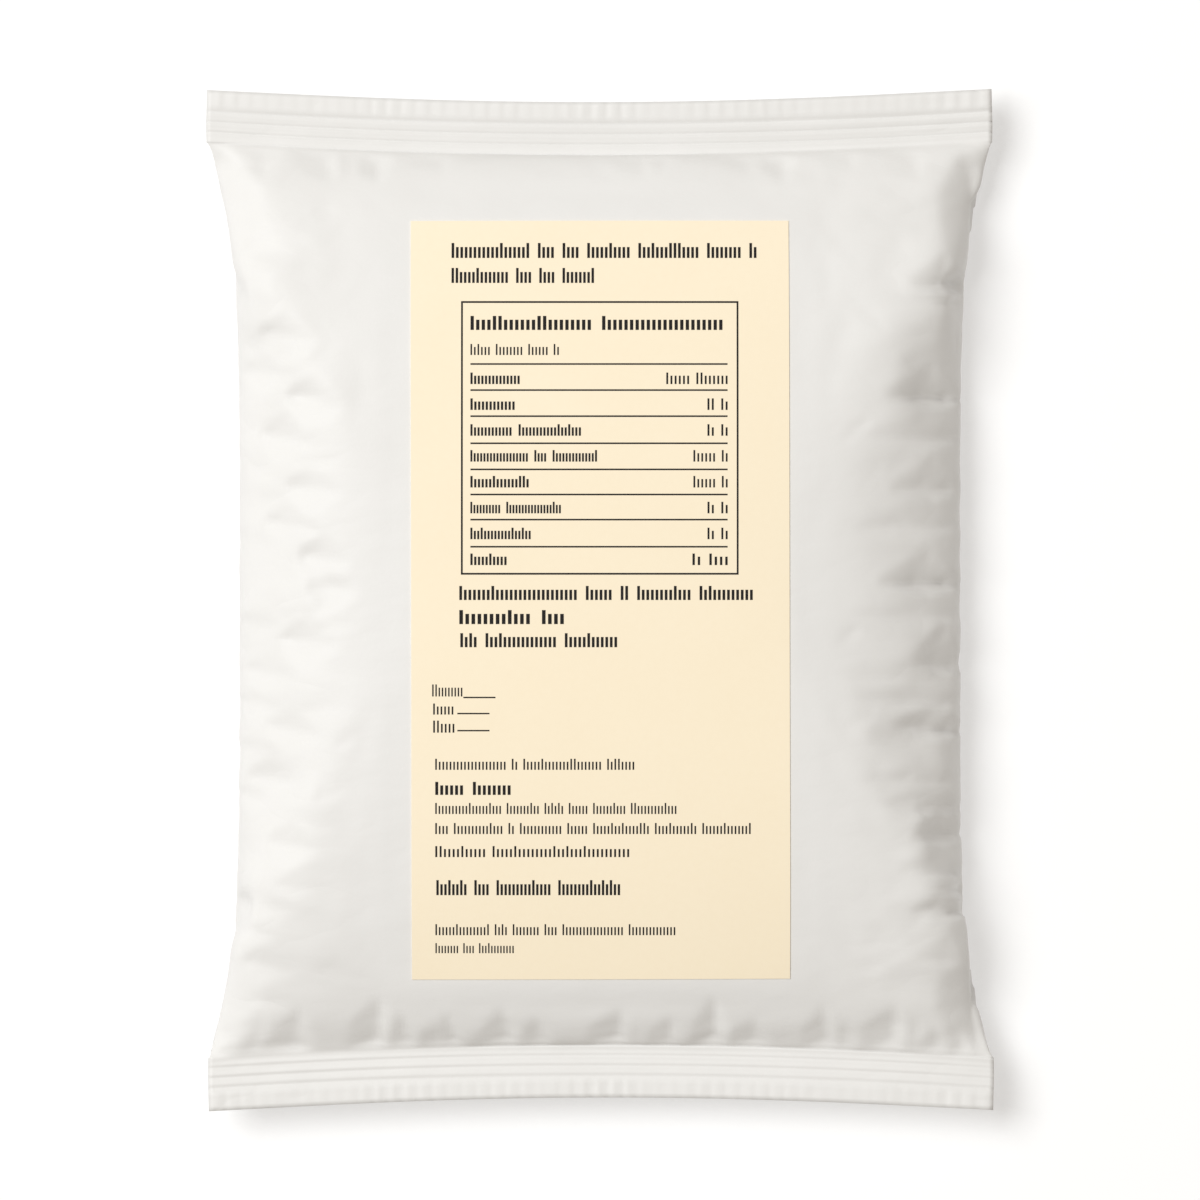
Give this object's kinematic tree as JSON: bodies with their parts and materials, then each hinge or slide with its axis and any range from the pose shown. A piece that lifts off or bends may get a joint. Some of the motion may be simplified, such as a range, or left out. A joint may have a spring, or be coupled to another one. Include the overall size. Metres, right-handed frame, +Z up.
{
  "type": "bag of sugar",
  "caption": "Pillow bag of white sugar in matt white film, crimped shut at both ends and lying on its back, with a tall cream paper label on its face.",
  "frame": {"origin": "on the table, under the middle of the bag", "axes": "+Y along the bag towards its top seal, +Z up through the labelled face, +X to the right of the label"},
  "size_m": [0.1976, 0.2566, 0.035],
  "materials": {
    "film": "matt white packing film, finely grained by the sugar behind it",
    "paper": "smooth uncoated cream label paper"
  },
  "bodies": {
    "root": {"bag": "film", "label": "paper"}
  },
  "joints": []
}
